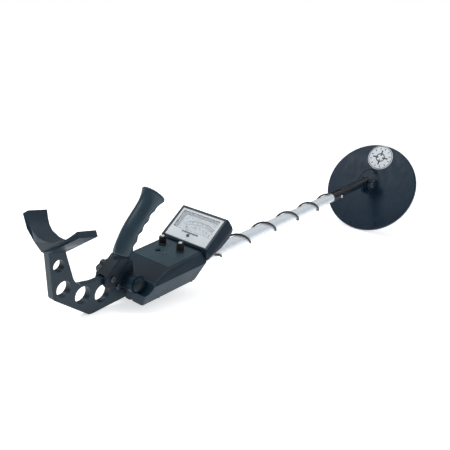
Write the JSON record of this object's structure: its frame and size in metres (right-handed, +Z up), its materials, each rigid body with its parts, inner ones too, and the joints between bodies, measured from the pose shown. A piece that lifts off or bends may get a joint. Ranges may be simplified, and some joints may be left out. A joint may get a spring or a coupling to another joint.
{
  "type": "metal detector",
  "caption": "Hand-held metal detector: tilting round search coil, telescoping shaft wound with cable, control box with meter and knobs, grip and arm cradle.",
  "frame": {"origin": "on the floor, under the middle of the bounding box, with the detector standing on the foot of its armrest and the lower rim of its coil", "axes": "+X forward from the armrest to the coil, +Y the user's left, +Z up"},
  "size_m": [0.9654, 0.2112, 0.2002],
  "materials": {
    "shell_plastic": "satin blue-black moulded plastic",
    "dark_plastic": "matt near-black moulded plastic",
    "white_plastic": "smooth white plastic",
    "white_enamel": "glossy white enamel on aluminium tube",
    "plated_steel": "bright plated steel",
    "soft_rubber": "matt black rubber",
    "clear_window": "clear polished acrylic",
    "copper_wire": "enamelled copper winding",
    "cable_jacket": "satin black cable jacket",
    "needle_black": "matt black paint",
    "amber_lens": "clear tinted lens",
    "battery_case": "printed metal can",
    "board_green": "green lacquered circuit board"
  },
  "bodies": {
    "main": {"lower_shell": "shell_plastic", "upper_shell": "shell_plastic", "shell_screw_1": "plated_steel", "shell_screw_2": "plated_steel", "shell_screw_3": "plated_steel", "shell_screw_4": "plated_steel", "tube_screw_1": "plated_steel", "tube_screw_2": "plated_steel", "battery": "battery_case", "battery_clip": "dark_plastic", "circuit_board": "board_green", "sounder": "dark_plastic", "headphone_socket": "plated_steel", "meter_frame": "white_plastic", "meter_window": "clear_window", "meter_dial": "white_plastic", "meter_movement": "dark_plastic", "zero_screw": "dark_plastic", "left_potentiometer": "plated_steel", "right_potentiometer": "plated_steel", "retune_switch": "dark_plastic", "power_lamp": "amber_lens", "box_gland": "dark_plastic", "main_tube": "white_enamel", "tube_plug": "dark_plastic", "stem_collar": "dark_plastic", "clamp_bolt": "shell_plastic", "cable_wound": "cable_jacket"},
    "battery_door": {"battery_cover": "shell_plastic"},
    "needle": {"meter_needle": "needle_black"},
    "left_dial": {"left_shaft": "plated_steel", "left_knob": "dark_plastic", "left_knob_cap": "white_plastic"},
    "right_dial": {"right_shaft": "plated_steel", "right_knob": "dark_plastic", "right_knob_cap": "white_plastic"},
    "retune": {"retune_button": "dark_plastic"},
    "stem_lock": {"lock_button": "plated_steel"},
    "stem": {"lower_stem": "shell_plastic", "cable_on_stem": "cable_jacket"},
    "coil": {"coil_shell": "shell_plastic", "coil_cover": "shell_plastic", "transmit_winding": "copper_wire", "receive_winding": "copper_wire", "coil_label": "white_plastic", "coil_gland": "dark_plastic", "tilt_bolt": "dark_plastic", "left_tilt_washer": "soft_rubber", "right_tilt_washer": "soft_rubber", "cable_to_coil": "cable_jacket"},
    "tilt_hand_nut": {"tilt_nut": "dark_plastic"},
    "arm": {"handle_base": "shell_plastic", "handle_grip": "dark_plastic", "handle_post": "plated_steel", "grip_cap": "shell_plastic", "handle_screw_1": "plated_steel", "handle_screw_2": "plated_steel", "armrest": "shell_plastic"},
    "clamp_hand_knob": {"clamp_knob": "dark_plastic"}
  },
  "joints": [
    {"name": "battery_door_off", "type": "slide", "parent": "main", "child": "battery_door", "axis": [0, 1, 0], "range_m": [0, 0.03]},
    {"name": "needle_swing", "type": "hinge", "parent": "main", "child": "needle", "pos_m": [-0.23767, 0, 0.06816], "axis": [0.7039, 0, -0.7103], "range_deg": [0, 86], "stiffness_Nm_per_rad": 0.0002},
    {"name": "left_dial_turn", "type": "hinge", "parent": "main", "child": "left_dial", "pos_m": [-0.26781, 0.0205, 0.05801], "axis": [-0.184, 0, 0.9829], "range_deg": [-150, 150]},
    {"name": "right_dial_turn", "type": "hinge", "parent": "main", "child": "right_dial", "pos_m": [-0.26781, -0.0125, 0.05801], "axis": [-0.184, 0, 0.9829], "range_deg": [-150, 150]},
    {"name": "retune_press", "type": "slide", "parent": "main", "child": "retune", "axis": [0.184, 0, -0.9829], "range_m": [0, 0.0015], "stiffness_N_per_m": 400},
    {"name": "lock_pull", "type": "slide", "parent": "main", "child": "stem_lock", "axis": [0, -1, 0], "range_m": [0, 0.002], "stiffness_N_per_m": 600},
    {"name": "stem_slide", "type": "slide", "parent": "main", "child": "stem", "axis": [0.9909, 0, 0.1347], "range_m": [-0.1, 0], "deforming": ["cable_on_stem"]},
    {"name": "coil_tilt", "type": "hinge", "parent": "stem", "child": "coil", "pos_m": [0.40465, 0, 0.11489], "axis": [0, 1, 0], "range_deg": [-25, 60], "deforming": ["cable_to_coil"]},
    {"name": "tilt_nut_turn", "type": "hinge", "parent": "coil", "child": "tilt_hand_nut", "pos_m": [0.40465, -0.017, 0.11489], "axis": [0, 1, 0], "continuous": true},
    {"name": "arm_tilt", "type": "hinge", "parent": "main", "child": "arm", "pos_m": [-0.35846, 0, 0.03439], "axis": [0, 1, 0], "range_deg": [-5, 30]},
    {"name": "clamp_knob_turn", "type": "hinge", "parent": "main", "child": "clamp_hand_knob", "pos_m": [-0.35846, 0.031, 0.03439], "axis": [0, 1, 0], "continuous": true}
  ]
}
